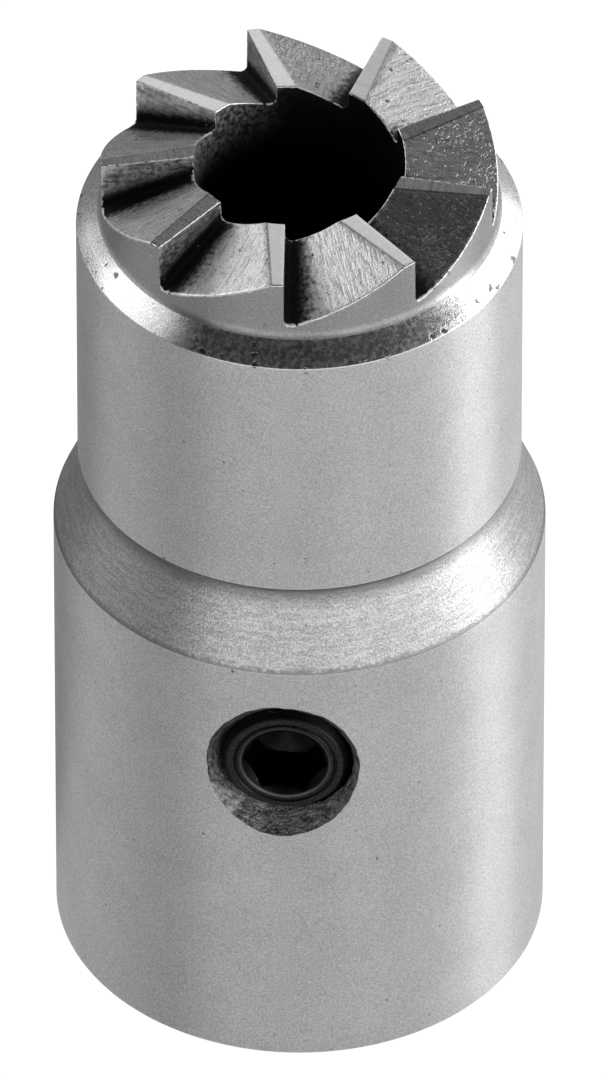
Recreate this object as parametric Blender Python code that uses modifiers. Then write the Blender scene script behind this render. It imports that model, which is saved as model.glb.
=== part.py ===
"""Valve seat cutter: a turned steel body with nine milled face teeth, and its clamping set screw.

The body slips over a spindle and is held on it by a hexagon socket set screw in the side.
Units are metres and +Z is up. The origin is the centre of the base, so the teeth are at the top.
The set screw faces -Y, and one of the cutting edges ends almost straight above it.
"""

import math

import bmesh
import bpy
from mathutils import Matrix, Vector

MM = 0.001

# Facets round a turned surface: a whole number for each tooth, so that the teeth come out alike
TEETH = 9
FACETS = 12 * TEETH

# Radii, from the bore outwards: each step is added to the one inside it.
BORE_RADIUS = 4.25 * MM
EDGE_LENGTH = 3.75 * MM
NOSE_STEP = 1.0 * MM
SHOULDER_STEP = 1.0 * MM
CROWN_RADIUS = BORE_RADIUS + EDGE_LENGTH
NOSE_RADIUS = CROWN_RADIUS + NOSE_STEP
BODY_RADIUS = NOSE_RADIUS + SHOULDER_STEP

# Heights, from the base upwards: each length is added to the one below it.
BODY_LENGTH = 20.85 * MM
SHOULDER_LENGTH = 2.35 * MM
GROOVE_WIDTH = 1.4 * MM
NOSE_LENGTH = 12.7 * MM
CROWN_LENGTH = 2.7 * MM
GROOVE_BOTTOM = BODY_LENGTH + SHOULDER_LENGTH
GROOVE_TOP = GROOVE_BOTTOM + GROOVE_WIDTH
CROWN_ROOT = GROOVE_TOP + NOSE_LENGTH
EDGE_HEIGHT = CROWN_ROOT + CROWN_LENGTH

# Turned details
GROOVE_DEPTH = 0.4 * MM
CROWN_FILLET = 0.2 * MM
BASE_CHAMFER = 0.1 * MM
BORE_CHAMFER = 0.5 * MM
BORE_RIM_BREAK = 0.1 * MM

# Teeth: a gullet is deepest at the rim, and the land behind each edge widens towards the bore.
# An edge runs beside the radius in its direction, RAKE_OFFSET back from it.
TOOTH_PITCH = 2 * math.pi / TEETH
FIRST_EDGE = math.radians(272.5)
RAKE_OFFSET = 0.5 * MM
GULLET_DEPTH = 2.27 * MM
GULLET_RADIUS = 0.25 * MM
RIM_LAND = 0.5 * MM
BORE_LAND = 0.78 * MM
LAND_CLEARANCE = math.radians(5)
GRINDING_STOCK = 0.1 * MM

# Set screw, M6 x 5, and its tapped hole through one wall. Both are plain where they have a thread:
# each lies half of THREAD_PLAY from the radius at which the thread and its groove are equally wide.
THREAD_RADIUS = 3.0 * MM
THREAD_PITCH = 1.0 * MM
THREAD_PLAY = 0.1 * MM
PITCH_RADIUS = THREAD_RADIUS - 3 * math.sqrt(3) / 16 * THREAD_PITCH
SCREW_RADIUS = PITCH_RADIUS - THREAD_PLAY / 2
HOLE_RADIUS = PITCH_RADIUS + THREAD_PLAY / 2
SINK_DEPTH = 0.825 * MM
SCREW_LENGTH = 5.0 * MM
SCREW_RECESS = 0.6 * MM
SCREW_DROP = 5.35 * MM
SCREW_HEIGHT = BODY_LENGTH - SCREW_DROP
SCREW_CHAMFER = 0.275 * MM
POINT_HALF_ANGLE = math.radians(60)
CUP_RADIUS = THREAD_RADIUS / 2
CUP_DEPTH = CUP_RADIUS / math.tan(POINT_HALF_ANGLE)

# Hexagon socket, broached in a hole drilled a little narrower than its flats
SOCKET_WIDTH = THREAD_RADIUS
SOCKET_MOUTH = 0.06 * MM
SOCKET_TURN = math.radians(-4)
DRILL_PLAY = 0.07 * MM
DRILL_RADIUS = SOCKET_WIDTH / 2 - DRILL_PLAY
DRILL_POINT = DRILL_RADIUS / math.tan(POINT_HALF_ANGLE)
SOCKET_WEB = 0.9 * MM
SOCKET_DEPTH = SCREW_LENGTH - CUP_DEPTH - SOCKET_WEB - DRILL_POINT

# How far a cutter stands clear of the surface that it cuts, the steps in a small round, and the
# angle from which two faces meet in a sharp edge
CUT_MARGIN = 1.0 * MM
ARC_STEPS = 6
SHARP_ANGLE = math.radians(25)

STEEL = ("cutter_steel", (0.52, 0.52, 0.53, 1.0), 0.38, 1.0)
BLACK_STEEL = ("black_oxide_steel", (0.035, 0.035, 0.037, 1.0), 0.42, 0.85)


def clear_scene():
    for old in list(bpy.data.objects):
        bpy.data.objects.remove(old, do_unlink=True)


def new_collection(name):
    collection = bpy.data.collections.new(name)
    bpy.context.scene.collection.children.link(collection)
    return collection


def make_material(name, colour, roughness, metallic):
    material = bpy.data.materials.new(name)
    material.use_nodes = True
    surface = material.node_tree.nodes["Principled BSDF"]
    surface.inputs["Base Color"].default_value = colour
    surface.inputs["Roughness"].default_value = roughness
    surface.inputs["Metallic"].default_value = metallic
    return material


def arc(centre, radius, start, end, steps=ARC_STEPS):
    """Points of a round from start to end, in radians, about a centre in the profile's plane."""
    turns = [start + (end - start) * i / steps for i in range(steps + 1)]
    return [(centre[0] + radius * math.cos(a), centre[1] + radius * math.sin(a)) for a in turns]


def turned(name, profile, collection, closed=False):
    """A turned solid: the profile, as (radius, height), goes down the outer side and once round Z.

    It starts half a facet round from +X, so no facet's edge lies in a plane that cuts a tooth.
    """
    mesh = bpy.data.meshes.new(name)
    start = Vector((math.cos(math.pi / FACETS), math.sin(math.pi / FACETS)))
    count = len(profile)
    edges = [(i, i + 1) for i in range(count - 1)]
    if closed:
        edges.append((count - 1, 0))
    points = [(radius * start.x, radius * start.y, height) for radius, height in profile]
    mesh.from_pydata(points, edges, [])
    solid = bpy.data.objects.new(name, mesh)
    collection.objects.link(solid)
    spin = solid.modifiers.new("turn", "SCREW")
    spin.axis = "Z"
    spin.steps = FACETS
    spin.render_steps = FACETS
    spin.use_merge_vertices = True
    spin.merge_threshold = 0.001 * MM
    return solid


def as_cutter(tool):
    tool.hide_render = True
    tool.display_type = "WIRE"
    return tool


def cut(solid, tool):
    boolean = solid.modifiers.new("cut_" + tool.name, "BOOLEAN")
    boolean.operation = "DIFFERENCE"
    boolean.solver = "EXACT"
    boolean.object = tool


def keep_evaluated(solid, material):
    """Turns the modifiers into mesh, shades the rounds smooth and gives the solid its material."""
    graph = bpy.context.evaluated_depsgraph_get()
    mesh = bpy.data.meshes.new_from_object(solid.evaluated_get(graph))
    mesh.name = solid.name
    solid.modifiers.clear()
    solid.data = mesh
    mesh.shade_smooth()
    mesh.set_sharp_from_angle(angle=SHARP_ANGLE)
    mesh.materials.clear()
    mesh.materials.append(material)


def groove_round():
    """The relief groove: a round of GROOVE_DEPTH under the nose, which runs into the cone's line.

    Its centre is straight below the nose's edge, and it ends where its tangent meets the cone's top.
    """
    reach = GROOVE_WIDTH - GROOVE_DEPTH
    centre = (NOSE_RADIUS, GROOVE_BOTTOM + reach)
    end = 1.5 * math.pi - math.acos(GROOVE_DEPTH / reach)
    return arc(centre, GROOVE_DEPTH, math.pi / 2, end, 2 * ARC_STEPS)


def body_profile():
    """The blank's section, down the outside, across the base and up the bore."""
    blank_top = EDGE_HEIGHT + GRINDING_STOCK
    rim_radius = BORE_RADIUS + BORE_RIM_BREAK + GRINDING_STOCK
    root = (CROWN_RADIUS + CROWN_FILLET, CROWN_ROOT + CROWN_FILLET)
    nose_chamfer = NOSE_STEP - CROWN_FILLET
    outside = [(CROWN_RADIUS, blank_top)]
    outside += arc(root, CROWN_FILLET, math.pi, 1.5 * math.pi)
    outside += [(NOSE_RADIUS, CROWN_ROOT - nose_chamfer)]
    outside += groove_round()
    outside += [(NOSE_RADIUS, GROOVE_BOTTOM), (BODY_RADIUS, BODY_LENGTH), (BODY_RADIUS, BASE_CHAMFER)]
    base = [(BODY_RADIUS - BASE_CHAMFER, 0), (BORE_RADIUS + BORE_CHAMFER, 0)]
    bore = [
        (BORE_RADIUS, BORE_CHAMFER),
        (BORE_RADIUS, EDGE_HEIGHT - BORE_RIM_BREAK),
        (rim_radius, blank_top),
    ]
    return outside + base + bore


def land_end(radius, land):
    """Where the next tooth's land ends at a radius: along this rake face, and out from it."""
    behind = RAKE_OFFSET + land
    place = Matrix.Rotation(TOOTH_PITCH, 2) @ Vector((math.sqrt(radius**2 - behind**2), -behind))
    return place + Vector((0, RAKE_OFFSET))


def gullet_slopes():
    """How steeply a gullet's floor rises towards the bore, and across to the next tooth's land.

    The floor is one plane. It starts GULLET_DEPTH below the edges at the rim, on the rake face,
    and ends on the line behind the next edge that leaves it its land at the rim and at the bore.
    """
    at_rim, at_bore = land_end(CROWN_RADIUS, RIM_LAND), land_end(BORE_RADIUS, BORE_LAND)
    slopes = Matrix(((CROWN_RADIUS - at_rim.x, at_rim.y), (CROWN_RADIUS - at_bore.x, at_bore.y)))
    rises = Vector((
        GULLET_DEPTH - RIM_LAND * math.tan(LAND_CLEARANCE),
        GULLET_DEPTH - BORE_LAND * math.tan(LAND_CLEARANCE),
    ))
    return slopes.inverted() @ rises


def gullet_mesh():
    """The angle mill's path along +X: an upright rake side, a sloping floor and a round tip between.

    The wedge's section is drawn at the crown's rim and carried along the floor's rise to the axis.
    """
    to_bore, across = gullet_slopes()
    floor = EDGE_HEIGHT - GULLET_DEPTH
    lean = math.sqrt(1 + across**2)
    tip = (GULLET_RADIUS, floor + GULLET_RADIUS * (across + lean))
    top = EDGE_HEIGHT + GRINDING_STOCK + 2 * CUT_MARGIN
    section = [(0, top)]
    section += arc(tip, GULLET_RADIUS, math.pi, 1.5 * math.pi + math.atan(across))
    section += [((top - floor) / across, top)]
    reach = CROWN_RADIUS + CUT_MARGIN
    shape = bmesh.new()
    corners = [shape.verts.new((reach, side, height - CUT_MARGIN * to_bore)) for side, height in section]
    face = shape.faces.new(corners)
    pulled = bmesh.ops.extrude_face_region(shape, geom=[face])["geom"]
    moved = [part for part in pulled if isinstance(part, bmesh.types.BMVert)]
    bmesh.ops.translate(shape, verts=moved, vec=(-reach, 0, reach * to_bore))
    bmesh.ops.recalc_face_normals(shape, faces=shape.faces)
    mesh = bpy.data.meshes.new("gullet_cutter")
    shape.to_mesh(mesh)
    shape.free()
    return mesh


def land_mesh():
    """The grinding wheel over one land, along +X: its underside falls away behind the edge."""
    shape = bmesh.new()
    bmesh.ops.create_cube(shape, size=1)
    ahead, behind = BORE_LAND, 2 * BORE_LAND
    size = Vector((EDGE_LENGTH + 2 * CUT_MARGIN, ahead + behind, CUT_MARGIN))
    bmesh.ops.scale(shape, vec=size, verts=shape.verts)
    centre = Vector((BORE_RADIUS + EDGE_LENGTH / 2, (ahead - behind) / 2, CUT_MARGIN / 2))
    bmesh.ops.translate(shape, vec=centre, verts=shape.verts)
    tilt = Matrix.Rotation(LAND_CLEARANCE, 3, "X")
    bmesh.ops.rotate(shape, cent=(0, 0, 0), matrix=tilt, verts=shape.verts)
    mesh = bpy.data.meshes.new("land_cutter")
    shape.to_mesh(mesh)
    shape.free()
    return mesh


def cut_each_tooth(body, name, mesh, height, collection):
    """Cuts once for each tooth, with a cutter drawn along +X, set back and turned to its place."""
    for index in range(TEETH):
        tool = bpy.data.objects.new(f"{name}_{index}", mesh)
        turn = Matrix.Rotation(FIRST_EDGE + index * TOOTH_PITCH, 4, "Z")
        tool.matrix_world = turn @ Matrix.Translation((0, -RAKE_OFFSET, height))
        collection.objects.link(tool)
        cut(body, as_cutter(tool))


def face_outwards(solid, distance):
    """Lays a piece turned round Z along the screw's line, its +Z pointing out of the body at -Y."""
    solid.rotation_euler.x = math.radians(90)
    solid.location = (0, -distance, SCREW_HEIGHT)
    return solid


def screw_hole_cutter(collection):
    """The tapped hole from outside to the bore, with its 90 degree countersink."""
    profile = [
        (0, BODY_RADIUS + CUT_MARGIN),
        (HOLE_RADIUS + SINK_DEPTH + CUT_MARGIN, BODY_RADIUS + CUT_MARGIN),
        (HOLE_RADIUS, BODY_RADIUS - SINK_DEPTH),
        (HOLE_RADIUS, 0),
        (0, 0),
    ]
    tool = turned("screw_hole_cutter", profile, collection)
    return as_cutter(face_outwards(tool, 0))


def make_body(parts, tools, material):
    body = turned("cutter_body", body_profile(), parts, closed=True)
    cut_each_tooth(body, "gullet_cutter", gullet_mesh(), 0, tools)
    cut_each_tooth(body, "land_cutter", land_mesh(), EDGE_HEIGHT, tools)
    cut(body, screw_hole_cutter(tools))
    keep_evaluated(body, material)


def cone_cutter(name, collection, sides, low, high, turn=0.0):
    """A prism or cone standing between two (radius, height) rims."""
    (low_radius, low_height), (high_radius, high_height) = low, high
    place = Matrix.Translation((0, 0, (low_height + high_height) / 2))
    shape = bmesh.new()
    bmesh.ops.create_cone(
        shape,
        cap_ends=True,
        segments=sides,
        radius1=low_radius,
        radius2=high_radius,
        depth=high_height - low_height,
        matrix=place @ Matrix.Rotation(turn, 4, "Z"),
    )
    mesh = bpy.data.meshes.new(name)
    shape.to_mesh(mesh)
    shape.free()
    tool = bpy.data.objects.new(name, mesh)
    collection.objects.link(tool)
    return as_cutter(tool)


def socket_cutters(collection):
    """The drill, the broach and the 45 degree mouth, from the screw's face at its z = 0."""
    corner = SOCKET_WIDTH / math.sqrt(3)
    mouth = corner + SOCKET_MOUTH
    drill = turned(
        "socket_drill",
        [(0, CUT_MARGIN), (DRILL_RADIUS, CUT_MARGIN), (DRILL_RADIUS, -SOCKET_DEPTH),
         (0, -SOCKET_DEPTH - DRILL_POINT)],
        collection,
    )
    broach = cone_cutter(
        "socket_broach", collection, 6, (corner, -SOCKET_DEPTH), (corner, CUT_MARGIN),
        math.radians(30) + SOCKET_TURN,
    )
    countersink = cone_cutter(
        "socket_countersink", collection, FACETS, (DRILL_RADIUS, DRILL_RADIUS - mouth),
        (mouth + CUT_MARGIN, CUT_MARGIN),
    )
    return [as_cutter(drill), broach, countersink]


def make_set_screw(parts, tools, material):
    """Hexagon socket set screw with a cup point. Its outer face is at its own z = 0."""
    profile = [
        (0, 0),
        (SCREW_RADIUS - SCREW_CHAMFER, 0),
        (SCREW_RADIUS, -SCREW_CHAMFER),
        (SCREW_RADIUS, SCREW_RADIUS - CUP_RADIUS - SCREW_LENGTH),
        (CUP_RADIUS, -SCREW_LENGTH),
        (0, CUP_DEPTH - SCREW_LENGTH),
    ]
    screw = turned("set_screw", profile, parts)
    for tool in socket_cutters(tools):
        cut(screw, tool)
    keep_evaluated(screw, material)
    face_outwards(screw, BODY_RADIUS - SCREW_RECESS)


def main():
    clear_scene()
    parts = new_collection("valve_seat_cutter")
    tools = new_collection("cutting_tools")
    make_body(parts, tools, make_material(*STEEL))
    make_set_screw(parts, tools, make_material(*BLACK_STEEL))


main()
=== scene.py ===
import math

import bmesh
import bpy
import mathutils
import numpy as np
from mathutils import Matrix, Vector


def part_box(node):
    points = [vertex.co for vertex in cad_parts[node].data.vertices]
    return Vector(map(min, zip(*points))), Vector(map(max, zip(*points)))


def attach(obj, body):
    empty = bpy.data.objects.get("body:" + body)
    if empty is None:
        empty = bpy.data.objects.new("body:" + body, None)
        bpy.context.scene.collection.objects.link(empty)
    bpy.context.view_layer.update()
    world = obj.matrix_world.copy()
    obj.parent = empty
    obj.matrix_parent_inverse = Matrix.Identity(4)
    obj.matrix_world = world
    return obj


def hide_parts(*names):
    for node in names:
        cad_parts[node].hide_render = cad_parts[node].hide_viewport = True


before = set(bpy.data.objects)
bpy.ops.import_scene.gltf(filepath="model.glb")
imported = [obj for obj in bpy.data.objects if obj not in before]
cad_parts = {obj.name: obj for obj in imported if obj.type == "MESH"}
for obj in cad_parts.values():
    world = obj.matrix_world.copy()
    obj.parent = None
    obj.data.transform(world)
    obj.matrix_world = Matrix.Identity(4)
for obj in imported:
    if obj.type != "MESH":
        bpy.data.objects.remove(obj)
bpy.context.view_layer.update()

# CUTTER BODY: ITS SHAPE
# One turned bar of tool steel: a ground lower body, a turned cone and relief groove, a nose, and a
# crown with nine teeth milled into its end face, each with a land ground behind its cutting edge.

MM = 0.001
body_low, body_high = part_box("cutter_body")
body_radius = (body_high[0] - body_low[0]) / 2 / MM
edge_height = body_high[2] / MM
nose_radius = 9.0
crown_radius = 8.0
bore_radius = 4.25
shoulder_bottom, shoulder_top = 20.85, 23.2
groove_top, groove_depth = 24.6, 0.4
chamfer_bottom = 36.42
root_fillet = 0.55
fillet_turn = math.pi / 4
crown_foot = chamfer_bottom + nose_radius - crown_radius + root_fillet * math.tan(fillet_turn / 2)
crown_root = crown_foot - root_fillet * math.sin(fillet_turn)
bore_chamfer = 0.5
base_chamfer = 0.1

teeth = 9
pitch = 2 * math.pi / teeth
first_edge = math.radians(272.5)
rake_offset = 0.5
gullet_depth = 2.27
gullet_radius = 0.25
rim_land, bore_land = 0.5, 0.78
land_fall = math.tan(math.radians(5))
rake_lean = 0.02
edge_round = 0.02
rim_round = 0.06
edge_steps, corner_steps, floor_steps, land_steps = 5, 8, 14, 5


def floor_slopes():
    """Rise of a gullet's flat floor towards the bore and across it, from the land that it leaves.

    At x along the tooth and t out from the rake face, the floor is (crown_radius - x) * inward +
    t * across above its deepest point. It meets the land's plane at both ends of the land.
    """
    land = np.array([rim_land, bore_land])
    behind = rake_offset + land
    edge = np.sqrt(np.array([crown_radius, bore_radius]) ** 2 - behind**2)
    along = edge * math.cos(pitch) + behind * math.sin(pitch)
    aside = edge * math.sin(pitch) - behind * math.cos(pitch) + rake_offset
    rise = gullet_depth - land * land_fall
    return np.linalg.solve(np.column_stack([crown_radius - along, aside]), rise)


def tooth_section(radius):
    """The columns of one tooth on circles of the given radii: angle from its rake face, and height.

    They go over the rounded cutting edge, down the rake face, round the gullet's corner, up the
    flat floor and along the next tooth's land. The rake face stands rake_offset back from the
    radius, so a column t out from it has the angle asin((t - rake_offset) / radius), and
    x = radius * cos(angle).
    """
    inward, across = floor_slopes()
    slant = math.hypot(1, across)
    deepest = edge_height - gullet_depth
    r = radius[:, None]

    turn = np.linspace(math.pi / 2, 0, edge_steps + 1)
    edge_angle = np.arcsin((edge_round * (np.cos(turn) - 1) - rake_offset) / r)
    edge_z = edge_height - edge_round * (1 + land_fall - np.sin(turn)) + 0 * r

    turn = np.linspace(math.pi, 1.5 * math.pi + math.atan(across), corner_steps + 1)
    centre = rake_lean + gullet_radius
    lift = across * centre + gullet_radius * (slant + np.sin(turn))
    corner_angle = np.arcsin((centre + gullet_radius * np.cos(turn) - rake_offset) / r)
    corner_z = deepest + (crown_radius - r * np.cos(corner_angle)) * inward + lift

    to_x = land_fall * math.sin(pitch) - inward
    to_t = across - land_fall * math.cos(pitch)
    left = gullet_depth - crown_radius * inward - rake_offset * (across - land_fall)
    reach = left / r / math.hypot(to_x, to_t)
    land_angle = math.atan2(to_t, to_x) - np.arccos(reach)
    share = np.linspace(0, 1, floor_steps + 1)[1:]
    floor_angle = corner_angle[:, -1:] + share * (land_angle - corner_angle[:, -1:])
    x, t = r * np.cos(floor_angle), r * np.sin(floor_angle) + rake_offset
    floor_z = deepest + (crown_radius - x) * inward + t * across

    next_edge = pitch - np.arcsin((rake_offset + edge_round) / r)
    share = np.linspace(0, 1, land_steps + 1)[1:]
    top_angle = land_angle + share * (next_edge - land_angle)
    top_z = edge_height - land_fall * (r * np.sin(pitch - top_angle) - rake_offset)

    angle = np.hstack([edge_angle, corner_angle, floor_angle, top_angle])
    return angle, np.hstack([edge_z, corner_z, floor_z, top_z])


def rounded(corners, steps=4):
    """A profile with its corners rounded: rows of (radius, height, reach of the round).

    Each round is the parabola that leaves one side and joins the other at the given reach.
    """
    place, reach = corners[:, :2], corners[:, 2:]
    before, after = np.roll(place, 1, axis=0) - place, np.roll(place, -1, axis=0) - place
    start = place + reach * before / np.linalg.norm(before, axis=1, keepdims=True)
    end = place + reach * after / np.linalg.norm(after, axis=1, keepdims=True)
    start[0], end[-1] = place[0], place[-1]
    s = np.linspace(0, 1, steps + 1)[:, None]
    rows = (1 - s) ** 2 * start[:, None] + 2 * s * (1 - s) * place[:, None] + s**2 * end[:, None]
    rows = rows.reshape(-1, 2)
    apart = np.linalg.norm(np.diff(rows, axis=0), axis=1) > 1e-6
    return rows[np.append(True, apart)]


def even_steps(rows, longest=0.9):
    """The same profile, with points put into each stretch that is longer than the given length."""
    length = np.linalg.norm(np.diff(rows, axis=0), axis=1)
    count = np.maximum(1, np.ceil(length / longest)).astype(int)
    place = np.concatenate([i + np.arange(n) / n for i, n in enumerate(count)] + [[len(count)]])
    row = np.arange(len(rows))
    return np.column_stack([np.interp(place, row, rows[:, 0]), np.interp(place, row, rows[:, 1])])


def groove_section(count=13):
    """The relief under the nose, going down: a round groove_depth across that runs into the cone.

    The round's centre is straight below the nose's edge. It turns from the top, by way of its
    innermost point, to where its tangent passes through the top of the shoulder.
    """
    length = groove_top - groove_depth - shoulder_top
    turn = np.linspace(math.pi / 2, 1.5 * math.pi - math.acos(groove_depth / length), count)
    radius = nose_radius + groove_depth * np.cos(turn)
    return np.column_stack([radius, length + shoulder_top + groove_depth * np.sin(turn)])


def along_rows(radius, height, share, drop):
    """Profile rows from their columns, each a number or an array of one common length."""
    return np.column_stack(np.broadcast_arrays(*np.atleast_1d(radius, height, share, drop)))


def body_rows():
    """The closed profile, down the outside and up the bore, then out over the teeth.

    Each row is a radius, a height, a share of the tooth's height, and a drop below the tooth.
    Turned rows have share 0. Rows over the crown have share 1 and take their height from the
    tooth's section. Those between lie in proportion between a turned edge and the tooth. The
    crown's root is an arc of fillet_turn that leaves the crown's wall upright and meets the chamfer
    along its slope.
    """
    root = np.linspace(0, fillet_turn, 7)
    fillet = np.column_stack([
        crown_radius + root_fillet * (1 - np.cos(root)),
        crown_foot - root_fillet * np.sin(root),
    ])
    nose = rounded(np.array([
        [*fillet[-1], 0],
        [nose_radius, chamfer_bottom, 0.03],
        [nose_radius, groove_top, 0],
    ]))
    shoulder = rounded(np.array([
        [*groove_section()[-1], 0],
        [nose_radius, shoulder_top, 0.3],
        [body_radius, shoulder_bottom, 0.05],
        [body_radius, base_chamfer, 0.03],
        [body_radius - base_chamfer, 0, 0.03],
        [bore_radius + bore_chamfer, 0, 0.05],
        [bore_radius, bore_chamfer, 0.05],
        [bore_radius, crown_root, 0],
    ]))
    outside = [fillet, even_steps(nose)[1:], groove_section()[1:], even_steps(shoulder)[1:]]
    outside = np.vstack(outside)
    share = np.linspace(0, 1, 6)[1:]
    turn = np.linspace(0, math.pi / 2, 6)[1:]
    across = np.linspace(bore_radius + rim_round, crown_radius - rim_round, 27)[1:]
    near, far = rim_round * (1 - np.cos(turn)), rim_round * (1 - np.sin(turn))
    return np.vstack([
        along_rows(outside[:, 0], outside[:, 1], 0, 0),
        along_rows(bore_radius, crown_root, share, rim_round),
        along_rows(bore_radius + near, 0, 1, far),
        along_rows(across, 0, 1, 0),
        along_rows(crown_radius - far, 0, 1, near),
        along_rows(crown_radius, crown_foot, share[-2::-1], rim_round),
    ])


def grid_faces(columns, rows, round_rows):
    """Quads of a grid whose columns close on themselves, and whose rows do too if round_rows."""
    column = np.arange(columns)[:, None]
    row = np.arange(rows if round_rows else rows - 1)[None, :]
    beside, above = (column + 1) % columns, (row + 1) % rows
    quads = [column * rows + row, beside * rows + row, beside * rows + above, column * rows + above]
    return np.stack(quads, axis=-1).reshape(-1, 4)


def new_piece(name, points, faces):
    """An object at the origin from points in millimetres and faces, shaded smooth."""
    mesh = bpy.data.meshes.new(name)
    mesh.from_pydata((points * MM).tolist(), [], faces)
    mesh.shade_smooth()
    piece = bpy.data.objects.new(name, mesh)
    bpy.context.scene.collection.objects.link(piece)
    return piece


# The body's finishes, in the order of its material slots.
GROUND, CROWN, CHAMFER, TURNED, RAKE, MILLED, LAND, BORE, TAPPED = range(9)


def body_finishes(rows, columns):
    """The finish of each face of one tooth's share of the body.

    Rows are told apart by where they lie. Over the teeth the columns decide: the rounded cutting
    edge belongs to the land, and the rake's finish goes half way round the gullet's corner.
    """
    middle = (rows + np.roll(rows, -1, axis=0)) / 2
    radius, z, share = middle[:, 0], middle[:, 1], middle[:, 2]
    teeth_top = share == 1
    bore = ~teeth_top & (radius < bore_radius + 0.3 * bore_chamfer)
    turned = (z > shoulder_bottom) & (z < groove_top)
    chamfer = (share == 0) & (z > chamfer_bottom) & (z < crown_root)
    chamfer |= (share == 0) & (z < base_chamfer)
    crown = ~chamfer & ((z > chamfer_bottom) | (share > 0))
    places = [teeth_top, bore, turned, chamfer, crown]
    finish = np.select(places, [MILLED, BORE, TURNED, CHAMFER, CROWN], GROUND)
    finish = np.tile(finish, (columns, 1))
    column = np.arange(columns)
    on_rake = (column >= edge_steps) & (column <= edge_steps + corner_steps // 2)
    on_land = (column < edge_steps) | (column >= columns - land_steps)
    finish[np.ix_(on_land, teeth_top)] = LAND
    finish[np.ix_(on_rake, teeth_top)] = RAKE
    return finish


def distance_from_edges(rows, radius, z, x, t):
    """Millimetres to the nearest turned edge, tooth rim or cutting edge, for the wear there."""
    turned = np.array([
        [nose_radius, chamfer_bottom],
        [nose_radius, groove_top],
        [body_radius, shoulder_bottom],
        [body_radius, base_chamfer],
        [body_radius - base_chamfer, 0],
        [bore_radius + bore_chamfer, 0],
        [bore_radius, bore_chamfer],
    ])
    reach = [np.hypot(radius - edge[0], z - edge[1]) for edge in turned]
    for rim in (bore_radius, crown_radius):
        reach.append(np.hypot(radius - rim, z - tooth_section(np.array([rim]))[1]))
    behind = x * math.sin(pitch) - (t - rake_offset) * math.cos(pitch) - rake_offset
    reach += [np.hypot(t, z - edge_height), np.hypot(behind, z - edge_height)]
    return np.min(reach, axis=0)


def keep_at_corners(piece, name, values):
    """Keeps values as an attribute of the face corners; they come by tooth, row and column."""
    values = np.swapaxes(values, 1, 2)
    above = np.roll(values, -1, axis=2)
    corners = [values[:, :-1], values[:, 1:], above[:, 1:], above[:, :-1]]
    kind, key = ("FLOAT", "value") if values.ndim == 3 else ("FLOAT_VECTOR", "vector")
    own = piece.data.attributes.new(name, kind, "CORNER")
    own.data.foreach_set(key, np.stack(corners, axis=3).astype(np.float32).ravel())


def make_body():
    """The body's closed surface: every tooth repeats the same columns, one pitch further round.

    Its attributes hold where a point lies on its own tooth: tooth_place is x along the cutting edge
    from the axis, t out from the rake face, and the tooth's number; from_edge and from_corner are
    the distances to the nearest edge and to the gullet's corner. All are in millimetres.
    """
    rows = body_rows()
    radius, low, share, drop = rows.T[:, :, None]
    angle, section = tooth_section(np.clip(rows[:, 0], bore_radius, crown_radius))
    z = (1 - share) * low + share * (section - drop)
    columns = angle.shape[1] - 1
    number = np.arange(teeth)[:, None, None]
    azimuth = (first_edge + number * pitch + angle)[:, :, :-1]
    places = [radius * np.cos(azimuth), radius * np.sin(azimuth), z[:, :-1] + 0 * azimuth]
    points = np.stack(places, axis=-1).swapaxes(1, 2).reshape(-1, 3)
    piece = new_piece("body", points, grid_faces(teeth * columns, len(rows), True))
    finish = np.tile(body_finishes(rows, columns), (teeth, 1, 1))
    piece.data.polygons.foreach_set("material_index", finish.ravel())

    x, t = radius * np.cos(angle), radius * np.sin(angle) + rake_offset
    inward, across = floor_slopes()
    above_floor = z - edge_height + gullet_depth - (crown_radius - x) * inward - t * across
    every = np.zeros((teeth, 1, 1))
    own = np.stack([every + x, every + t, number + 0 * x], axis=-1)
    keep_at_corners(piece, "from_edge", every + distance_from_edges(rows, radius, z, x, t))
    keep_at_corners(piece, "from_corner", every + np.maximum(t, above_floor))
    keep_at_corners(piece, "tooth_place", own)
    return piece


# The M6 thread that the cross hole and the set screw share, and the hole's 90 degree countersink.
screw_low, screw_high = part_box("set_screw")
screw_height = (screw_low[2] + screw_high[2]) / 2 / MM
screw_face, screw_tip = -screw_low[1] / MM, -screw_high[1] / MM
thread_radius = 3.0
thread_pitch = 1.0
thread_depth = 0.541
thread_play = 0.04
thread_columns = 144
sink_radius = 3.55


def thread_surface(angle, along):
    """Radius of the thread at an angle round its axis and a distance along it from the body's axis.

    The crest winds one pitch further out for each turn. From the crest's flat, a sixteenth of the
    pitch to each side, the flanks fall at 60 degrees to the axis to the root, thread_depth deep.
    """
    turns = along / thread_pitch - angle / (2 * math.pi)
    from_crest = np.abs(turns - np.round(turns)) * thread_pitch
    fall = (from_crest - thread_pitch / 16) * math.tan(math.radians(60))
    return thread_radius - np.clip(fall, 0, thread_depth)


def across_body(radius, angle, along):
    """Points round the screw's axis, which goes from the body's at screw_height towards -Y."""
    radius, angle, along = np.broadcast_arrays(radius, angle, along)
    place = [radius * np.cos(angle), -along, screw_height + radius * np.sin(angle)]
    return np.stack(place, axis=-1).reshape(-1, 3)


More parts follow.
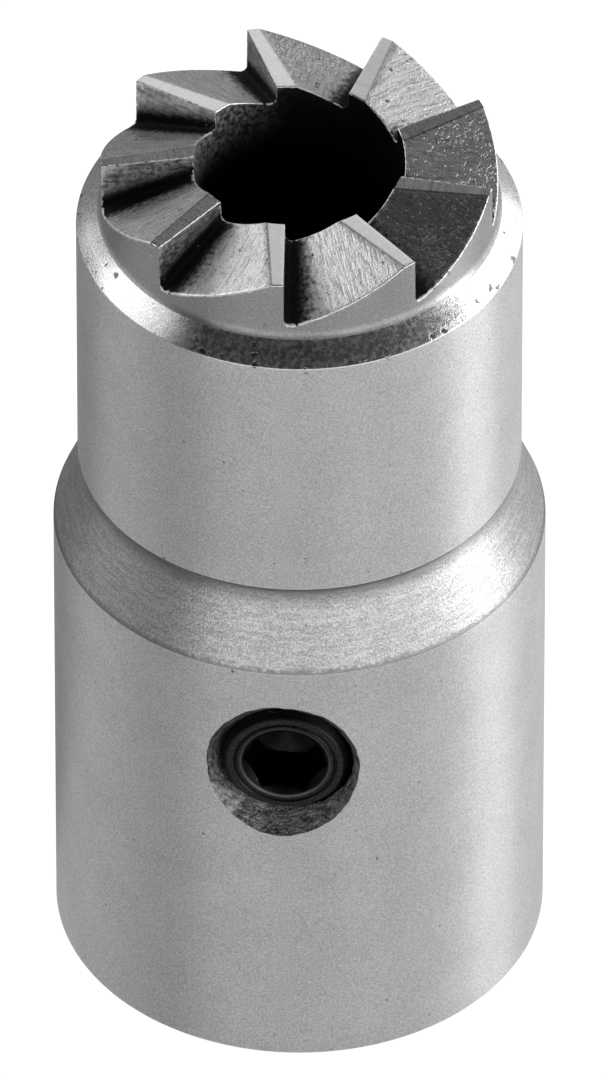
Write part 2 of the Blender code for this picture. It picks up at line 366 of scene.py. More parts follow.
def cut_screw_hole(body):
    """Cuts the tapped hole: the wider of the thread and the countersink, from the bore to outside.

    The countersink was drilled 0.1 mm to one side and 0.06 mm up, and a little oval. Its rim is
    ragged by three small sines round the hole, of 7, 19 and 34 waves.
    """
    angle = np.arange(thread_columns)[:, None] * 2 * math.pi / thread_columns
    along = np.arange(bore_radius / 2, body_radius + 1, thread_pitch / 16)[None, :]
    aside = 0.06 * np.sin(angle) - 0.1 * np.cos(angle) + 0.055 * np.cos(2 * angle)
    ragged = 0.02 * np.sin(7 * angle + 1) + 0.014 * np.sin(19 * angle)
    ragged = ragged + 0.01 * np.sin(34 * angle + 2)
    sink = sink_radius + aside + ragged + along - body_radius
    radius = np.maximum(thread_surface(angle, along) + thread_play, sink)
    faces = grid_faces(thread_columns, along.size, False).tolist()
    ends = np.arange(thread_columns) * along.size
    faces += [ends[::-1].tolist(), (ends + along.size - 1).tolist()]
    cutter = new_piece("screw_hole", across_body(radius, angle, along), faces)
    cutter.data.polygons.foreach_set("material_index", np.full(len(faces), TAPPED))
    hole = body.modifiers.new("screw_hole", "BOOLEAN")
    hole.operation = "DIFFERENCE"
    hole.solver = "EXACT"
    hole.object = cutter
    graph = bpy.context.evaluated_depsgraph_get()
    mesh = bpy.data.meshes.new_from_object(body.evaluated_get(graph))
    body.modifiers.clear()
    body.data = mesh
    bpy.data.objects.remove(cutter)


def crisp(piece, angle=24):
    """Sharp where faces meet at more than the angle; elsewhere larger faces lead the shading."""
    piece.data.set_sharp_from_angle(angle=math.radians(angle))
    shading = piece.modifiers.new("shading", "WEIGHTED_NORMAL")
    shading.keep_sharp = True


body = make_body()

# CUTTER BODY: ITS STEEL
# The same hardened steel all over, in nine finishes: ground outside, crown, chamfer, turned cone
# and groove, rake faces, milled gullet floors, lands, dark bore, and dark rough tapped hole.


def feed_inputs(tree, node, feeds):
    """Sets each named input of a node to its value, or links it to its socket."""
    for name, feed in feeds.items():
        if isinstance(feed, bpy.types.NodeSocket):
            tree.links.new(feed, node.inputs[name])
        else:
            node.inputs[name].default_value = feed


def add(tree, kind, feeds, **settings):
    """A new shader node with its settings and its inputs' feeds."""
    node = tree.nodes.new("ShaderNode" + kind)
    for name, value in settings.items():
        setattr(node, name, value)
    feed_inputs(tree, node, feeds)
    return node


def reckon(tree, operation, *values, clamp=False):
    """The result of a Math node on values or sockets."""
    node = add(tree, "Math", dict(enumerate(values)), operation=operation, use_clamp=clamp)
    return node.outputs[0]


def fade(tree, value, start, end, low=0.0, high=1.0):
    """A smooth step of a value, from low at start to high at end."""
    feeds = {"Value": value, "From Min": start, "From Max": end, "To Min": low, "To Max": high}
    return add(tree, "MapRange", feeds, interpolation_type="SMOOTHSTEP").outputs[0]


def speckle(tree, place, scale, detail=2.0, roughness=0.6):
    """Fractal noise with the given number of cells in each unit of its place."""
    feeds = {"Vector": place, "Scale": scale, "Detail": detail, "Roughness": roughness}
    return add(tree, "TexNoise", feeds).outputs["Fac"]


def stretched(tree, place, scales):
    """A place with each of its axes scaled."""
    return add(tree, "VectorMath", {0: place, 1: scales}, operation="MULTIPLY").outputs[0]


def blend_colour(tree, share, first, second):
    """The first colour where the share is 0 and the second where it is 1."""
    return add(tree, "Mix", {0: share, 6: first, 7: second}, data_type="RGBA").outputs[2]


def new_group(name, inputs, outputs):
    """An empty shader group; inputs give each socket's default, and outputs are floats."""
    tree = bpy.data.node_groups.new(name, "ShaderNodeTree")
    for socket, value in inputs.items():
        kind = "NodeSocketFloat" if isinstance(value, float) else "NodeSocketVector"
        tree.interface.new_socket(socket, in_out="INPUT", socket_type=kind).default_value = value
    for socket in outputs:
        tree.interface.new_socket(socket, in_out="OUTPUT", socket_type="NodeSocketFloat")
    return tree, tree.nodes.new("NodeGroupInput").outputs, tree.nodes.new("NodeGroupOutput").inputs


def make_grain():
    """Steel grain: a fine mottle, a coarser tooth, soft clouds, dark pits and short scratches.

    A pit is a ragged dot at the middle of a Voronoi cell; its size goes with the cube of the cell's
    random number, so that most are too small to see.
    """
    inputs = {"Place": (0, 0, 0), "Pits": 0.3, "Scratches": 0.3}
    outputs = ["Mottle", "Tooth", "Cloud", "Pit", "Scratch"]
    tree, given, result = new_group("steel_grain", inputs, outputs)
    place = given["Place"]
    tooth = speckle(tree, place, 5.0, 3.0, 0.6)
    tree.links.new(speckle(tree, place, 13.0, 2.0, 0.7), result["Mottle"])
    tree.links.new(tooth, result["Tooth"])
    tree.links.new(speckle(tree, place, 0.4, 2.0), result["Cloud"])
    cell = add(tree, "TexVoronoi", {"Vector": place, "Scale": 2.4}).outputs
    chance = add(tree, "SeparateColor", {0: cell["Color"]}).outputs[0]
    size = reckon(tree, "MULTIPLY", reckon(tree, "POWER", chance, 3.0), 0.34)
    ragged = reckon(tree, "MULTIPLY", size, fade(tree, tooth, 0.35, 0.65, 0.5, 1.5))
    reach = reckon(tree, "MULTIPLY", ragged, given["Pits"])
    inside = reckon(tree, "SUBTRACT", reach, cell["Distance"])
    tree.links.new(reckon(tree, "MULTIPLY", inside, 6.0, clamp=True), result["Pit"])
    along = speckle(tree, stretched(tree, place, (2.0, 2.0, 12.0)), 1.0, 1.0)
    across = speckle(tree, stretched(tree, place, (12.0, 12.0, 2.0)), 1.0, 1.0)
    scratch = fade(tree, reckon(tree, "MAXIMUM", along, across), 0.75, 0.8)
    tree.links.new(reckon(tree, "MULTIPLY", scratch, given["Scratches"]), result["Scratch"])
    return tree


def make_wear_and_highlight():
    """Edge wear and painted highlight: 1 on an edge, with a ragged border at about the given width
    from it.
    """
    inputs = {"Place": (0, 0, 0), "From Edge": 1.0, "Width": 0.1}
    tree, given, result = new_group("edge_wear_and_highlight", inputs, ["Wear"])
    ragged = speckle(tree, given["Place"], 4.0, 3.0)
    ragged = fade(tree, ragged, 0.3, 0.75, 0.2, 2.2)
    reach = reckon(tree, "MULTIPLY", given["Width"], ragged)
    left = reckon(tree, "SUBTRACT", 1.0, reckon(tree, "DIVIDE", given["From Edge"], reach))
    tree.links.new(fade(tree, left, 0.0, 0.5), result["Wear"])
    return tree


def make_tool_marks():
    """Tool marks: fine lines along the second and third axes of the place they are given."""
    inputs = {"Place": (0, 0, 0), "Lines": 12.0, "Length": 2.0}
    tree, given, result = new_group("tool_marks", inputs, ["Mark"])
    slow = reckon(tree, "DIVIDE", 1.0, given["Length"])
    scales = add(tree, "CombineXYZ", {0: given["Lines"], 1: slow, 2: slow}).outputs[0]
    place = stretched(tree, given["Place"], scales)
    tree.links.new(speckle(tree, place, 1.0, 3.0, 0.7), result["Mark"])
    return tree


steel_grain = make_grain()
edge_wear_and_highlight = make_wear_and_highlight()
tool_marks = make_tool_marks()


def use_group(tree, group, feeds):
    """The outputs of a group placed in a material with its inputs' feeds."""
    return add(tree, "Group", feeds, node_tree=group).outputs


def new_material(name):
    """A material, its tree, its Principled shader, and its place on the piece in millimetres."""
    material = bpy.data.materials.new(name)
    material.use_nodes = True
    tree = material.node_tree
    place = add(tree, "TexCoord", {}).outputs["Object"]
    place = add(tree, "VectorMath", {0: place, "Scale": 1 / MM}, operation="SCALE").outputs[0]
    return material, tree, tree.nodes["Principled BSDF"], place


def attribute(tree, name):
    """The outputs of the node that reads the named attribute of the piece."""
    return add(tree, "Attribute", {}, attribute_name=name).outputs


def tooth_place(tree):
    """Where a point lies on its tooth: x along it, t out from the rake face, and its number."""
    return add(tree, "SeparateXYZ", {0: attribute(tree, "tooth_place")["Vector"]}).outputs


def over_noise(tree, noise, low, high):
    """A value that goes from low to high over the range in which most of a noise lies."""
    return fade(tree, noise, 0.3, 0.7, low, high)


def finish_surface(tree, shader, colour, roughness, height, depth):
    """Feeds the shader: a metal's colour and roughness, and a bump of the given depth in mm."""
    bump = add(tree, "Bump", {"Height": height, "Strength": 1.0, "Distance": depth * MM})
    feeds = {"Base Color": colour, "Roughness": roughness, "Normal": bump.outputs[0]}
    feed_inputs(tree, shader, feeds)
    shader.inputs["Metallic"].default_value = 1


def spread_gloss(shader, across):
    """Spreads the gloss, by the given amount, across lines that run round the axis."""
    shader.inputs["Anisotropic"].default_value = across
    shader.inputs["Anisotropic Rotation"].default_value = 0.25


def grey(value):
    """A grey with its alpha."""
    return (value, value, value, 1)


def turned_lines(tree, place, lines, length):
    """Tool marks round the axis, by height less radius, which grows along every turned face."""
    parts = add(tree, "SeparateXYZ", {0: place}).outputs
    flat = stretched(tree, place, (1, 1, 0))
    radius = add(tree, "VectorMath", {0: flat}, operation="LENGTH").outputs["Value"]
    along = reckon(tree, "SUBTRACT", parts[2], radius)
    own = add(tree, "CombineXYZ", {0: along, 1: parts[0], 2: parts[1]}).outputs[0]
    return use_group(tree, tool_marks, {"Place": own, "Lines": lines, "Length": length})["Mark"]


def wear_and_highlight_of(tree, place, width):
    """Edge wear and painted highlight on the body, from its own distance to the nearest edge."""
    from_edge = attribute(tree, "from_edge")["Fac"]
    feeds = {"Place": place, "From Edge": from_edge, "Width": width}
    return use_group(tree, edge_wear_and_highlight, feeds)["Wear"]


def tooth_lines(tree, place, lean, lines, length):
    """Tool marks along a tooth; the lean turns them aside, and each tooth has its own."""
    x, t, number = tooth_place(tree)
    z = add(tree, "SeparateXYZ", {0: place}).outputs[2]
    aside = reckon(tree, "ADD", reckon(tree, "ADD", t, z), reckon(tree, "MULTIPLY", x, lean))
    apart = reckon(tree, "MULTIPLY", number, 31.7)
    own = add(tree, "CombineXYZ", {0: aside, 1: x, 2: apart}).outputs[0]
    return use_group(tree, tool_marks, {"Place": own, "Lines": lines, "Length": length})["Mark"]


def make_ground_steel(name, dark, light, smooth, rough, across, pits, wear_and_highlight_width):
    """Fine ground steel: satin, with a fine mottle, faint lines round it, pits and scratches.

    Its pits are larger near an edge. The grinding lines run round the axis, so its gloss is spread
    across them by the given amount.
    """
    material, tree, shader, place = new_material(name)
    pits = fade(tree, attribute(tree, "from_edge")["Fac"], 0.0, 0.5, 1.8 * pits, pits)
    grain = use_group(tree, steel_grain, {"Place": place, "Pits": pits, "Scratches": 0.7})
    mark = turned_lines(tree, place, 9.0, 2.5)
    cloud = reckon(tree, "MULTIPLY", reckon(tree, "SUBTRACT", grain["Cloud"], 0.5), 0.15)
    tone = reckon(tree, "ADD", grain["Mottle"], cloud)
    colour = blend_colour(tree, fade(tree, tone, 0.36, 0.64), grey(dark), grey(light))
    colour = blend_colour(tree, grain["Pit"], colour, grey(0.15))
    colour = blend_colour(tree, grain["Scratch"], colour, grey(0.9))
    # Edge wear and painted highlight: edges are lightened.
    colour = blend_colour(tree, wear_and_highlight_of(tree, place, wear_and_highlight_width), colour, grey(0.85))
    roughness = over_noise(tree, grain["Tooth"], smooth, rough)
    height = reckon(tree, "ADD", reckon(tree, "MULTIPLY", mark, 0.3), grain["Mottle"])
    height = reckon(tree, "SUBTRACT", height, reckon(tree, "MULTIPLY", grain["Pit"], 0.8))
    finish_surface(tree, shader, colour, roughness, height, 0.006)
    spread_gloss(shader, across)
    return material


def make_turned_steel():
    """Turned faces: fine lines round the axis, painted shade up in the groove under the nose, and a
    dull lower edge.
    """
    material, tree, shader, place = new_material("turned_steel")
    grain = use_group(tree, steel_grain, {"Place": place, "Pits": 0.5})
    mark = turned_lines(tree, place, 6.0, 1.2)
    tone = reckon(tree, "ADD", reckon(tree, "MULTIPLY", mark, 0.5), grain["Mottle"])
    colour = blend_colour(tree, fade(tree, tone, 0.6, 0.9), grey(0.38), grey(0.66))
    height_up = add(tree, "SeparateXYZ", {0: place}).outputs[2]
    # Painted shade: the groove is darkened towards its top, under the nose's overhang.
    painted_groove_shade = fade(tree, height_up, shoulder_top + 0.1, groove_top - 0.35, 0.0, 0.9)
    colour = blend_colour(tree, painted_groove_shade, colour, grey(0.15))
    colour = blend_colour(tree, grain["Pit"], colour, grey(0.2))
    low = reckon(tree, "ADD", height_up, reckon(tree, "MULTIPLY", grain["Tooth"], -0.5))
    dull = fade(tree, low, shoulder_bottom + 0.05, shoulder_bottom - 0.2)
    colour = blend_colour(tree, dull, colour, grey(0.3))
    roughness = over_noise(tree, grain["Tooth"], 0.34, 0.44)
    height = reckon(tree, "ADD", reckon(tree, "MULTIPLY", mark, 0.6), grain["Mottle"])
    finish_surface(tree, shader, colour, roughness, height, 0.012)
    spread_gloss(shader, 0.5)
    return material


def gullet_dirt_and_shade(tree, reach, grain):
    """How much dirt, oxide and painted shade lies in a gullet: all at its corner, and ragged out at
    the reach.

    The reach is in millimetres at the bore, and grows by a third towards the rim.
    """
    wider = fade(tree, tooth_place(tree)[0], bore_radius, crown_radius, 1.0, 1.33)
    apart = reckon(tree, "DIVIDE", attribute(tree, "from_corner")["Fac"], wider)
    near = fade(tree, apart, reach, 0.25 * reach)
    ragged = reckon(tree, "MULTIPLY", reckon(tree, "SUBTRACT", grain["Tooth"], 0.5), 2.4)
    ragged = reckon(tree, "MULTIPLY", ragged, reckon(tree, "SUBTRACT", 1.15, near))
    ragged = reckon(tree, "MULTIPLY", ragged, fade(tree, near, 0.0, 0.1))
    return fade(tree, reckon(tree, "ADD", near, ragged), 0.1, 1.0)


def make_milled_steel():
    """The gullets' floors: streaks of the mill along each tooth, pits, and dirt with painted shade
    at the corner.

    Flecks stand a little proud. The floors of gullets 1 and 2 are darkened with painted shade.
    """
    material, tree, shader, place = new_material("milled_steel")
    grain = use_group(tree, steel_grain, {"Place": place, "Pits": 0.9})
    mark = tooth_lines(tree, place, 0.0, 6.0, 0.9)
    fleck = speckle(tree, stretched(tree, place, (3.0, 3.0, 8.0)), 1.5, 2.0)
    fleck = reckon(tree, "ADD", fleck, reckon(tree, "MULTIPLY", grain["Cloud"], 0.5))
    fleck = fade(tree, fleck, 0.84, 0.92)
    # Dirt and painted shade: the floor is darkened towards the gullet's corner.
    dirt_and_shade = gullet_dirt_and_shade(tree, 1.35, grain)
    tone = reckon(tree, "ADD", mark, reckon(tree, "MULTIPLY", grain["Mottle"], 0.7))
    colour = blend_colour(tree, fade(tree, tone, 0.62, 0.95), grey(0.54), grey(0.96))
    # Painted shade: the floors of gullets 1 and 2 are darkened.
    from_painted_shade = reckon(tree, "SUBTRACT", tooth_place(tree)[2], 1.3)
    from_painted_shade = reckon(tree, "ABSOLUTE", from_painted_shade)
    colour = blend_colour(tree, fade(tree, from_painted_shade, 1.3, 0.1, 0.0, 0.78), colour, grey(0.1))
    colour = blend_colour(tree, grain["Pit"], colour, grey(0.2))
    colour = blend_colour(tree, dirt_and_shade, colour, grey(0.03))
    # Edge wear and painted highlight: edges are lightened.
    colour = blend_colour(tree, wear_and_highlight_of(tree, place, 0.09), colour, grey(0.9))
    roughness = over_noise(tree, grain["Mottle"], 0.26, 0.42)
    roughness = reckon(tree, "ADD", roughness, reckon(tree, "MULTIPLY", dirt_and_shade, 0.4))
    height = reckon(tree, "ADD", mark, reckon(tree, "MULTIPLY", grain["Mottle"], 0.5))
    height = reckon(tree, "ADD", height, reckon(tree, "MULTIPLY", fleck, 0.5))
    finish_surface(tree, shader, colour, roughness, height, 0.022)
    return material


def make_rake_steel():
    """The rake faces: milled like the floors, but painted darker as shade, speckled, and black
    towards the corner with dirt and painted shade.
    """
    material, tree, shader, place = new_material("rake_steel")
    grain = use_group(tree, steel_grain, {"Place": place, "Scratches": 0.9})
    mark = tooth_lines(tree, place, 0.0, 6.0, 1.0)
    # Dirt and painted shade: the rake is darkened towards the gullet's corner.
    dirt_and_shade = gullet_dirt_and_shade(tree, 0.9, grain)
    tone = reckon(tree, "ADD", mark, grain["Tooth"])
    # Painted shade: the rake's whole tone is darker than the floor's.
    colour = blend_colour(tree, fade(tree, tone, 0.75, 1.25), grey(0.24), grey(0.66))
    colour = blend_colour(tree, dirt_and_shade, colour, grey(0.02))
    colour = blend_colour(tree, grain["Scratch"], colour, grey(0.8))
    # Edge wear and painted highlight: edges are lightened.
    colour = blend_colour(tree, wear_and_highlight_of(tree, place, 0.05), colour, grey(0.85))
    roughness = over_noise(tree, grain["Tooth"], 0.35, 0.5)
    roughness = reckon(tree, "ADD", roughness, reckon(tree, "MULTIPLY", dirt_and_shade, 0.4))
    height = reckon(tree, "ADD", mark, grain["Tooth"])
    finish_surface(tree, shader, colour, roughness, height, 0.02)
    return material


def make_land_steel():
    """The lands: faint slanting lines of the grinding wheel, and painted light and shade that makes
    some brighter than others.

    The painted tone goes up and down as a cosine over the number that a land has: that of the
    gullet before it. The lands painted dull are the more speckled.
    """
    material, tree, shader, place = new_material("land_steel")
    grain = use_group(tree, steel_grain, {"Place": place, "Pits": 0.5})
    mark = tooth_lines(tree, place, 1.2, 6.0, 1.2)
    # Painted light and shade: each land's tone follows a cosine round the crown.
    wave = reckon(tree, "MULTIPLY_ADD", tooth_place(tree)[2], 1.296, 0.875)
    painted_light_and_shade = fade(tree, reckon(tree, "COSINE", wave), -0.85, 0.6, 0.13, 0.97)
    speckled = reckon(tree, "MULTIPLY", reckon(tree, "SUBTRACT", grain["Mottle"], 0.5), 0.6)
    speckled = reckon(tree, "MULTIPLY", speckled, reckon(tree, "SUBTRACT", 1.0, painted_light_and_shade))
    tone = reckon(tree, "ADD", painted_light_and_shade, speckled)
    tone = reckon(tree, "ADD", tone, reckon(tree, "MULTIPLY_ADD", mark, 0.4, -0.2), clamp=True)
    colour = blend_colour(tree, tone, grey(0.08), grey(0.95))
    colour = blend_colour(tree, grain["Pit"], colour, grey(0.3))
    # Edge wear and painted highlight: edges are lightened.
    colour = blend_colour(tree, wear_and_highlight_of(tree, place, 0.04), colour, grey(0.92))
    roughness = over_noise(tree, grain["Mottle"], 0.24, 0.32)
    height = reckon(tree, "ADD", mark, reckon(tree, "MULTIPLY", grain["Mottle"], 0.5))
    finish_surface(tree, shader, colour, roughness, height, 0.003)
    return material


def make_bore_steel():
    """The bore: rough, dark with oil and oxide, and lightened by painted light on its -X side near
    the rim.
    """
    material, tree, shader, place = new_material("bore_steel")
    grain = use_group(tree, steel_grain, {"Place": place})
    parts = add(tree, "SeparateXYZ", {0: place}).outputs
    below = reckon(tree, "SUBTRACT", edge_height, parts[2])
    # Painted light: the -X wall is lightened near the rim.
    painted_light = reckon(tree, "ADD", below, reckon(tree, "MULTIPLY", grain["Tooth"], 1.6))
    aside = fade(tree, parts[0], -0.5, -3.4)
    painted_light = reckon(tree, "MULTIPLY", fade(tree, painted_light, 4.6, 2.2), aside)
    light = fade(tree, grain["Tooth"], 0.35, 0.65, 0.1, 0.6)
    light = reckon(tree, "ADD", 0.03, reckon(tree, "MULTIPLY", light, painted_light))
    colour = add(tree, "CombineColor", {0: light, 1: light, 2: light}).outputs[0]
    # Edge wear and painted highlight: edges are lightened.
    colour = blend_colour(tree, wear_and_highlight_of(tree, place, 0.06), colour, grey(0.8))
    roughness = over_noise(tree, grain["Tooth"], 0.42, 0.6)
    finish_surface(tree, shader, colour, roughness, grain["Tooth"], 0.03)
    return material


def make_tapped_steel():
    """The tapped hole and its countersink: dark, and rough with the rings of the drill."""
    material, tree, shader, place = new_material("tapped_steel")
    grain = use_group(tree, steel_grain, {"Place": place, "Scratches": 0.9})
    parts = add(tree, "SeparateXYZ", {0: place}).outputs
    own = add(tree, "CombineXYZ", {0: parts[1], 1: parts[0], 2: parts[2]}).outputs[0]
    mark = use_group(tree, tool_marks, {"Place": own, "Lines": 5.0, "Length": 0.6})["Mark"]
    fine = reckon(tree, "MULTIPLY_ADD", grain["Mottle"], 0.7, 0.15)
    tone = reckon(tree, "ADD", mark, reckon(tree, "MULTIPLY_ADD", grain["Tooth"], 0.3, fine))
    colour = blend_colour(tree, fade(tree, tone, 0.9, 1.4), grey(0.05), grey(0.32))
    colour = blend_colour(tree, grain["Scratch"], colour, grey(0.8))
    roughness = over_noise(tree, grain["Mottle"], 0.4, 0.55)
    height = reckon(tree, "ADD", mark, grain["Tooth"])
    finish_surface(tree, shader, colour, roughness, height, 0.04)
    return material


body_steels = [
    make_ground_steel(
        "ground_steel", dark=0.56, light=0.8, smooth=0.4, rough=0.46,
        across=0.85, pits=0.5, wear_and_highlight_width=0.03,
    ),
    # Painted shade: the crown's steel is the ground steel made darker.
    make_ground_steel(
        "crown_steel", dark=0.36, light=0.5, smooth=0.36, rough=0.42,
        across=0.85, pits=0.6, wear_and_highlight_width=0.08,
    ),
    make_ground_steel(
        "chamfer_steel", dark=0.72, light=0.96, smooth=0.22, rough=0.3,
        across=0.4, pits=1.0, wear_and_highlight_width=0.05,
    ),
    make_turned_steel(),
    make_rake_steel(),
    make_milled_steel(),
    make_land_steel(),
    make_bore_steel(),
    make_tapped_steel(),
]
for steel in body_steels:
    body.data.materials.append(steel)
cut_screw_hole(body)
crisp(body)
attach(body, "cutter")
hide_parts("cutter_body")

# SET SCREW
# A bought M6 screw of black oxide steel with a 3 mm hexagon socket and a cup point, screwed into
# the tapped hole to clamp the body on its spindle.

face_radius = 2.35
point_radius = 2.2
cup_radius = 1.5
cup_rim = 0.06
ring_radius = 2.04
ring_half, ring_floor_half, ring_depth = 0.08, 0.03, 0.06
socket_width = 3.0
socket_mouth = 1.79
rim_step = 0.02
socket_depth = 2.4
socket_turn = math.radians(-4)
drill_radius = socket_width / 2 - 0.05
drill_slope = math.tan(math.radians(60))


def all_round(rows, angle):
    """Rows at every angle, from pairs of radius and distance, each a number or one per angle."""
    return np.array([np.broadcast_arrays(*row, angle)[:2] for row in rows])


def screw_rows(angle):
    """The screw's closed section at each angle: rows of radius and distance from the body's axis.

    From the cup's middle out over the point's rim, up the thread, which is cut back by a 45 degree
    cone at both ends, over the face and its shallow ring, down the socket and along its drilled end
    to its middle. The socket's radius at an angle is half its width over the cosine of the angle
    from its nearest flat.
    """
    from_flat = np.mod(angle - socket_turn, math.pi / 3) - math.pi / 6
    hexagon = socket_width / 2 / np.cos(from_flat)
    bottom = screw_face - socket_depth
    cup_depth = (cup_radius - cup_rim) / drill_slope
    point = [
        (0, screw_tip + cup_depth),
        (cup_radius - cup_rim, screw_tip + rim_step),
        (cup_radius, screw_tip),
    ]
    along = np.arange(screw_tip, screw_face + 1e-6, thread_pitch / 24)
    thread = thread_surface(angle[:, None], along[None, :])
    ends = np.minimum(face_radius + (screw_face - along), point_radius + (along - screw_tip))
    thread = np.minimum(thread, ends)
    outside = np.stack([thread.T, np.broadcast_to(along[:, None], thread.T.shape)], axis=1)
    mouth = screw_face - rim_step
    mouth_fall = np.maximum(socket_mouth - hexagon, rim_step)
    socket = [
        (ring_radius + ring_half, screw_face),
        (ring_radius + ring_floor_half, screw_face - ring_depth),
        (ring_radius - ring_floor_half, screw_face - ring_depth),
        (ring_radius - ring_half, screw_face),
        (socket_mouth + 2 * rim_step, screw_face),
        (socket_mouth, mouth),
        (hexagon, mouth - mouth_fall),
        (hexagon, bottom + 0.03),
        (drill_radius, bottom),
        (0, bottom - drill_radius / drill_slope),
    ]
    return np.concatenate([all_round(point, angle), outside, all_round(socket, angle)], axis=0)


def make_screw():
    """The screw's closed surface round its own axis; its first and last rows meet in a point."""
    angle = np.arange(thread_columns) * 2 * math.pi / thread_columns
    rows = screw_rows(angle)
    points = across_body(rows[:, 0].T, angle[:, None], rows[:, 1].T)
    faces = grid_faces(len(angle), len(rows), False)
    piece = new_piece("screw", points, faces)
    ready = bmesh.new()
    ready.from_mesh(piece.data)
    bmesh.ops.remove_doubles(ready, verts=ready.verts, dist=1e-7)
    bmesh.ops.recalc_face_normals(ready, faces=ready.faces)
    ready.to_mesh(piece.data)
    ready.free()
    return piece


def make_black_oxide():
    """Black oxide on the screw: satin with a fine mottle, and blacker below the face.

    A line round the socket's mouth is rubbed grey by the key and painted lighter as a highlight.
    """
    material, tree, shader, place = new_material("black_oxide")
    grain = use_group(tree, steel_grain, {"Place": place, "Scratches": 0.5})
    tone = over_noise(tree, grain["Mottle"], 0.0, 1.0)
    colour = blend_colour(tree, tone, grey(0.02), grey(0.06))
    inward = reckon(tree, "ADD", add(tree, "SeparateXYZ", {0: place}).outputs[1], screw_face)
    colour = blend_colour(tree, fade(tree, inward, 0.01, 0.08), colour, grey(0.012))
    lowered = {0: place, 1: (0, 0, -screw_height)}
    aside = add(tree, "VectorMath", lowered, operation="ADD").outputs[0]
    aside = stretched(tree, aside, (1, 0, 1))
    radius = add(tree, "VectorMath", {0: aside}, operation="LENGTH").outputs["Value"]
    from_mouth = reckon(tree, "SUBTRACT", radius, socket_mouth + rim_step)
    from_mouth = reckon(tree, "ABSOLUTE", from_mouth)
    # Wear and painted highlight: a lighter ring round the socket's mouth.
    painted_light = fade(tree, from_mouth, 0.07, 0.02, 0.0, 0.8)
    colour = blend_colour(tree, painted_light, colour, grey(0.11))
    colour = blend_colour(tree, grain["Scratch"], colour, grey(0.15))
    roughness = over_noise(tree, grain["Mottle"], 0.3, 0.45)
    finish_surface(tree, shader, colour, roughness, grain["Mottle"], 0.01)
    return material


screw = make_screw()
screw.data.materials.append(make_black_oxide())
crisp(screw)
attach(screw, "screw")
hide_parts("set_screw")

# STUDIO
# A white table under large soft lights, and a long lens that looks down at the part from the
# front. The lights stand low and near, so that the steel shows them as soft upright bands.

table_glow = 0.31
table_seen = 0.92
light_distance = 0.5
part_middle = 0.02


def make_floor():
    """A plain pale table just under the part: white for the eye, with a glow that lights the part.

    The glow fades out behind the part on its left, outside the base, so that the steel's left
    side ends in a dark edge. Seen from below the table lets the eye through to the part's base.
    """
    mesh = bpy.data.meshes.new("floor")
    side = 3.0
    under = -0.02 * MM
    corners = [(-side, -side, under), (side, -side, under), (side, side, under)]
    corners += [(-side, side, under)]
    mesh.from_pydata(corners, [], [(0, 1, 2, 3)])
    floor = bpy.data.objects.new("floor", mesh)
    bpy.context.scene.collection.objects.link(floor)
    material = bpy.data.materials.new("white_table")
    material.use_nodes = True
    shader = material.node_tree.nodes["Principled BSDF"]
    shader.inputs["Base Color"].default_value = grey(0.3)
    shader.inputs["Roughness"].default_value = 0.9
    shader.inputs["Emission Color"].default_value = grey(1)
    tree = material.node_tree
    place = add(tree, "TexCoord", {}).outputs["Object"]
    way = add(tree, "VectorMath", {0: place}, operation="NORMALIZE").outputs[0]
    behind = add(tree, "VectorMath", {0: way, 1: (-0.6, 0.8, 0)}, operation="DOT_PRODUCT")
    away = add(tree, "VectorMath", {0: place}, operation="LENGTH").outputs["Value"]
    rim = 10 * MM
    outside = fade(tree, away, rim, rim + MM)
    behind = reckon(tree, "MULTIPLY", behind.outputs["Value"], outside)
    around = fade(tree, behind, 0.65, 0.9, table_glow, 0.0)
    seen = add(tree, "LightPath", {}).outputs["Is Camera Ray"]
    more = reckon(tree, "SUBTRACT", table_seen, around)
    glow = reckon(tree, "MULTIPLY_ADD", seen, more, around)
    back = add(tree, "NewGeometry", {}).outputs["Backfacing"]
    there = reckon(tree, "SUBTRACT", 1.0, reckon(tree, "MULTIPLY", seen, back))
    feed_inputs(tree, shader, {"Emission Strength": glow, "Alpha": there})
    mesh.materials.append(material)
    return floor


def way_out(turn, rise):
    """The way that goes out from the part at a turn from -Y towards +X and a rise, in degrees."""
    a, e = math.radians(turn), math.radians(rise)
    return mathutils.Vector((math.sin(a) * math.cos(e), -math.cos(a) * math.cos(e), math.sin(e)))


def softbox(name, turn, rise, width, height, power):
    """A soft rectangular light that faces the middle of the part; its sides are in metres."""
    light = bpy.data.lights.new(name, "AREA")
    light.shape = "RECTANGLE"
    light.size = width
    light.size_y = height
    light.energy = power
    piece = bpy.data.objects.new(name, light)
    out = way_out(turn, rise)
    piece.location = mathutils.Vector((0, 0, part_middle)) + out * light_distance
    piece.rotation_euler = out.to_track_quat("Z", "Y").to_euler()
    piece.visible_camera = False
    bpy.context.scene.collection.objects.link(piece)


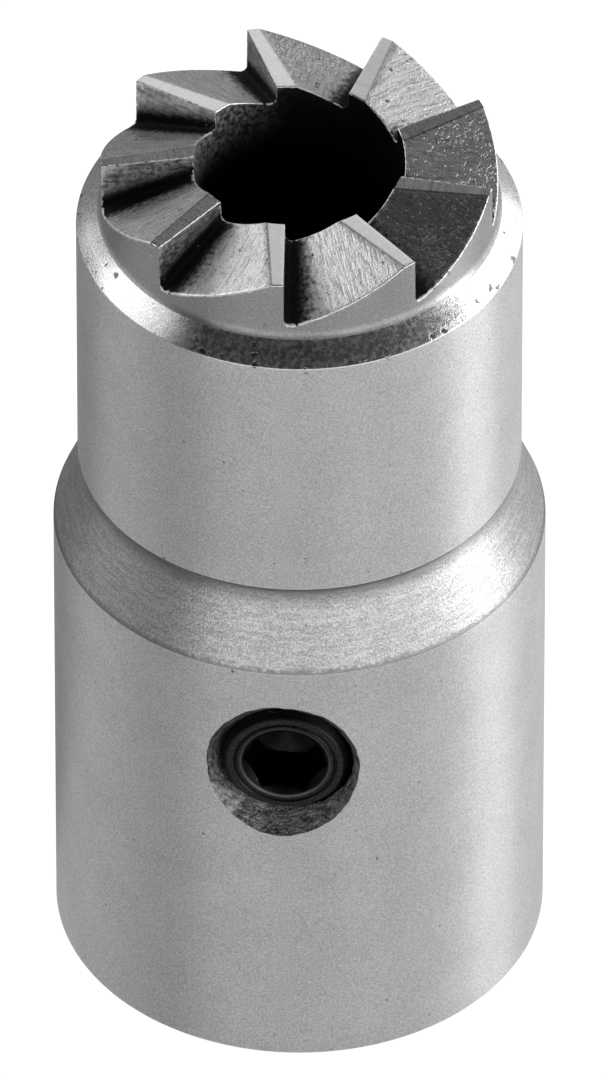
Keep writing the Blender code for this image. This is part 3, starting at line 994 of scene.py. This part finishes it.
def make_camera(turn, rise, distance, aim, frame_height):
    """A long lens that looks at the aim and takes in the frame's height there.

    The aim is how far the middle of the frame lies to the right of the part's axis, and how high.
    The distance, the aim and the frame's height are in millimetres.
    """
    camera = bpy.data.cameras.new("camera")
    camera.sensor_fit = "VERTICAL"
    camera.sensor_height = 36
    camera.lens = camera.sensor_height * distance / frame_height
    camera.clip_end = 10
    piece = bpy.data.objects.new("camera", camera)
    back = way_out(turn, rise)
    right = mathutils.Vector((math.cos(math.radians(turn)), math.sin(math.radians(turn)), 0))
    piece.location = (right * aim[0] + mathutils.Vector((0, 0, aim[1])) + back * distance) * MM
    piece.rotation_euler = back.to_track_quat("Z", "Y").to_euler()
    bpy.context.scene.collection.objects.link(piece)
    bpy.context.scene.camera = piece


def make_world(seen, around):
    """A backdrop of one grey for the eye, and of another for the light that it gives."""
    world = bpy.data.worlds.new("studio")
    world.use_nodes = True
    tree = world.node_tree
    ray = add(tree, "LightPath", {}).outputs["Is Camera Ray"]
    colour = blend_colour(tree, ray, grey(around), grey(seen))
    tree.links.new(colour, tree.nodes["Background"].inputs["Color"])
    bpy.context.scene.world = world


make_floor()
softbox("right_low", 90, 8, 0.24, 0.24, 1.27)
softbox("right_front", 60, 8, 0.24, 0.24, 0.43)
softbox("right_back", 128, 8, 0.34, 0.24, 0.6)
softbox("right_high", 120, 31, 0.4, 0.24, 0.23)
softbox("front_right", 30, 8, 0.24, 0.24, 0.41)
softbox("front", -13, 8, 0.5, 0.24, 0.64)
softbox("left_front", -84, 31, 0.24, 0.24, 0.21)
softbox("left", -108, 31, 0.24, 0.24, 0.33)
softbox("left_top", -106, 55, 0.24, 0.24, 0.1)
softbox("left_back", -135, 20, 0.26, 0.24, 0.22)
softbox("back", 180, 36, 0.28, 0.42, 0.26)
softbox("top", 90, 76, 0.24, 0.24, 0.07)
make_world(seen=1.0, around=0.0)
make_camera(turn=3.6, rise=41.8, distance=1150, aim=(0.10, 19.24), frame_height=43.9)
bpy.context.scene.view_settings.view_transform = "Standard"
